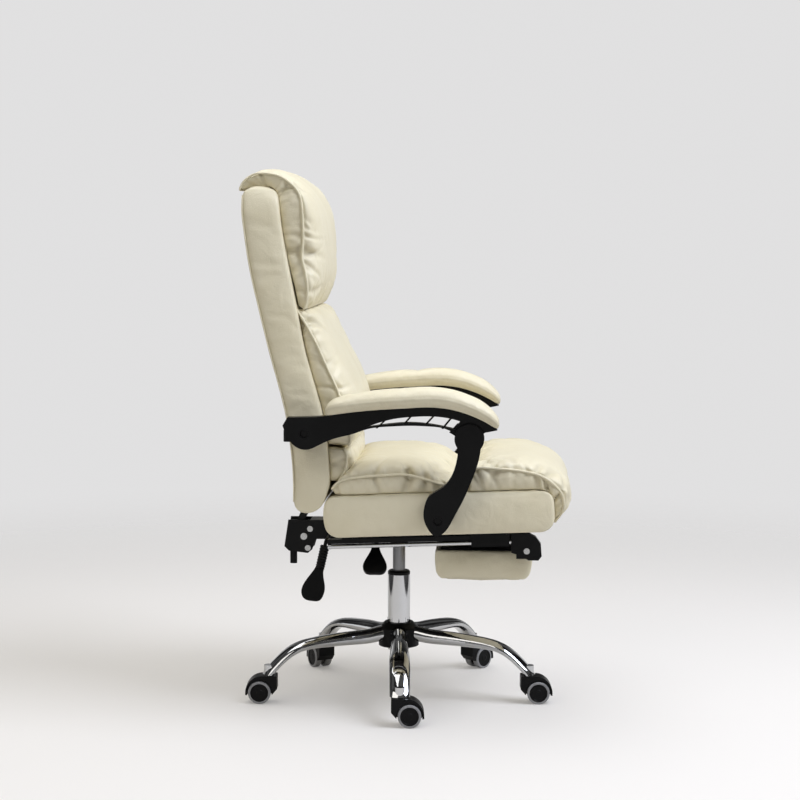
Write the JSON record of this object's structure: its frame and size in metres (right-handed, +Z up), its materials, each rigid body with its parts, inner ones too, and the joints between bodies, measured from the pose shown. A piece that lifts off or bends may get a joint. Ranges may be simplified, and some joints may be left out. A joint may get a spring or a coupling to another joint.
{
  "type": "reclining office chair",
  "caption": "Swivel office chair in pale padded leather with a high reclining back, linked lattice armrests, a pull-out footrest and a chrome star base on twin-wheel casters.",
  "frame": {"origin": "on the floor, under the axis of the gas column", "axes": "+X towards the chair's front, +Y towards the sitter's left, +Z up along the gas column"},
  "size_m": [0.7114, 0.65, 1.1733],
  "materials": {
    "cream_leather": "satin",
    "chrome": "polished",
    "black_plastic": "satin",
    "wheel_plastic": "satin",
    "grey_tyre": "matte",
    "black_metal": "satin",
    "steel": "satin",
    "plywood": "matte"
  },
  "bodies": {
    "base": {"star_base": "chrome", "hub_cover": "black_plastic", "column_tube": "chrome", "column_bush": "black_plastic", "thrust_bearing": "steel", "caster_stems": "steel"},
    "swivel": {"piston_rod": "steel"},
    "seat": {"gas_cylinder": "chrome", "seat_mechanism": "black_metal", "frame_bolts": "steel", "seat_board": "plywood", "seat_base_cushion": "cream_leather", "seat_rear_cushion": "cream_leather", "seat_front_cushion": "cream_leather", "footrest_rails": "black_metal", "footrest_guides": "black_plastic", "recline_bracket": "black_metal", "recline_pin": "steel", "strut_bolts": "steel"},
    "lock": {"lock_plunger": "steel"},
    "back": {"back_bar": "black_metal", "back_board": "plywood", "back_base_cushion": "cream_leather", "head_cushion": "cream_leather", "back_cushion": "cream_leather", "lower_back_cushion": "cream_leather", "arm_strap": "black_metal", "arm_bolts": "steel"},
    "arm_left": {"arm_frame_left": "black_plastic", "arm_pad_left": "cream_leather"},
    "arm_right": {"arm_frame_right": "black_plastic", "arm_pad_right": "cream_leather"},
    "strut_left": {"strut_left": "black_plastic"},
    "strut_right": {"strut_right": "black_plastic"},
    "footrest_slide": {"footrest_rods": "chrome", "footrest_crossbar": "black_metal", "footrest_knuckles": "black_plastic", "footrest_screws": "steel"},
    "footrest_pad": {"footrest_board": "plywood", "footrest_cushion": "cream_leather", "footrest_hinges": "black_metal"},
    "height_lever": {"height_lever_rod": "black_metal", "height_lever_paddle": "black_plastic"},
    "recline_lever": {"recline_lever_rod": "black_metal", "recline_lever_paddle": "black_plastic"},
    "caster_1": {"caster_hood_1": "black_plastic"},
    "wheels_1": {"caster_wheels_1": "wheel_plastic", "caster_tyres_1": "grey_tyre"},
    "caster_2": {"caster_hood_2": "black_plastic"},
    "wheels_2": {"caster_wheels_2": "wheel_plastic", "caster_tyres_2": "grey_tyre"},
    "caster_3": {"caster_hood_3": "black_plastic"},
    "wheels_3": {"caster_wheels_3": "wheel_plastic", "caster_tyres_3": "grey_tyre"},
    "caster_4": {"caster_hood_4": "black_plastic"},
    "wheels_4": {"caster_wheels_4": "wheel_plastic", "caster_tyres_4": "grey_tyre"},
    "caster_5": {"caster_hood_5": "black_plastic"},
    "wheels_5": {"caster_wheels_5": "wheel_plastic", "caster_tyres_5": "grey_tyre"}
  },
  "joints": [
    {"name": "caster_swivel_1", "type": "hinge", "parent": "base", "child": "caster_1", "pos_m": [0.01949, -0.30137, 0.06], "axis": [0, 0, 1], "continuous": true},
    {"name": "wheel_spin_1", "type": "hinge", "parent": "caster_1", "child": "wheels_1", "pos_m": [0.03995, -0.30019, 0.025], "axis": [-0.0576, 0.9983, 0], "continuous": true},
    {"name": "caster_swivel_2", "type": "hinge", "parent": "base", "child": "caster_2", "pos_m": [0.29264, -0.07459, 0.06], "axis": [0, 0, 1], "continuous": true},
    {"name": "wheel_spin_2", "type": "hinge", "parent": "caster_2", "child": "wheels_2", "pos_m": [0.31311, -0.07341, 0.025], "axis": [-0.0576, 0.9983, 0], "continuous": true},
    {"name": "caster_swivel_3", "type": "hinge", "parent": "base", "child": "caster_3", "pos_m": [0.16137, 0.25527, 0.06], "axis": [0, 0, 1], "continuous": true},
    {"name": "wheel_spin_3", "type": "hinge", "parent": "caster_3", "child": "wheels_3", "pos_m": [0.17554, 0.27009, 0.025], "axis": [-0.723, 0.6909, 0], "continuous": true},
    {"name": "caster_swivel_4", "type": "hinge", "parent": "base", "child": "caster_4", "pos_m": [-0.19291, 0.23236, 0.06], "axis": [0, 0, 1], "continuous": true},
    {"name": "wheel_spin_4", "type": "hinge", "parent": "caster_4", "child": "wheels_4", "pos_m": [-0.20356, 0.24988, 0.025], "axis": [-0.8545, -0.5195, 0], "continuous": true},
    {"name": "caster_swivel_5", "type": "hinge", "parent": "base", "child": "caster_5", "pos_m": [-0.2806, -0.11166, 0.06], "axis": [0, 0, 1], "continuous": true},
    {"name": "wheel_spin_5", "type": "hinge", "parent": "caster_5", "child": "wheels_5", "pos_m": [-0.30106, -0.11284, 0.025], "axis": [0.0576, -0.9983, 0], "continuous": true},
    {"name": "chair_swivel", "type": "hinge", "parent": "base", "child": "swivel", "pos_m": [0, 0, 0.11], "axis": [0, 0, 1], "continuous": true},
    {"name": "seat_height", "type": "slide", "parent": "swivel", "child": "seat", "axis": [0, 0, 1], "range_m": [-0.055, 0.03]},
    {"name": "recline", "type": "hinge", "parent": "seat", "child": "back", "pos_m": [-0.212, 0, 0.358], "axis": [0, -1, 0], "range_deg": [0, 36]},
    {"name": "arm_tilt_left", "type": "hinge", "parent": "back", "child": "arm_left", "pos_m": [-0.183, 0.288, 0.617], "axis": [0, -1, 0], "range_deg": [-33, 0]},
    {"name": "arm_tilt_right", "type": "hinge", "parent": "back", "child": "arm_right", "pos_m": [-0.183, -0.288, 0.617], "axis": [0, -1, 0], "range_deg": [-33, 0]},
    {"name": "strut_tilt_left", "type": "hinge", "parent": "seat", "child": "strut_left", "pos_m": [0.097, 0.288, 0.436], "axis": [0, -1, 0], "range_deg": [0, 51]},
    {"name": "strut_tilt_right", "type": "hinge", "parent": "seat", "child": "strut_right", "pos_m": [0.097, -0.288, 0.436], "axis": [0, -1, 0], "range_deg": [0, 51]},
    {"name": "footrest_pull", "type": "slide", "parent": "seat", "child": "footrest_slide", "axis": [0.9992, 0, 0.0401], "range_m": [0, 0.3]},
    {"name": "footrest_flip", "type": "hinge", "parent": "footrest_slide", "child": "footrest_pad", "pos_m": [0.284, 0, 0.361], "axis": [0, -1, 0], "range_deg": [0, 180.5]},
    {"name": "height_lever_lift", "type": "hinge", "parent": "seat", "child": "height_lever", "pos_m": [-0.02491, -0.0605, 0.36948], "axis": [-1, 0, 0], "range_deg": [0, 6], "stiffness_Nm_per_rad": 0.6, "springref_deg": -14.32},
    {"name": "recline_lever_lift", "type": "hinge", "parent": "seat", "child": "recline_lever", "pos_m": [-0.15, -0.0265, 0.368], "axis": [-1, 0, 0], "range_deg": [0, 12], "stiffness_Nm_per_rad": 0.8, "springref_deg": -14.32},
    {"name": "lock_pull", "type": "slide", "parent": "seat", "child": "lock", "axis": [0, 0, -1], "range_m": [0, 0.00505]}
  ],
  "couplings": [
    {"joint": "arm_tilt_left", "follows": "recline", "ratio": -0.8936},
    {"joint": "arm_tilt_right", "follows": "recline", "ratio": -0.8936},
    {"joint": "strut_tilt_left", "follows": "recline", "ratio": 1.4068},
    {"joint": "strut_tilt_right", "follows": "recline", "ratio": 1.4068},
    {"joint": "footrest_flip", "follows": "footrest_pull", "rad_per_m": 10.472},
    {"joint": "lock_pull", "follows": "recline_lever_lift", "m_per_rad": 0.023873}
  ]
}
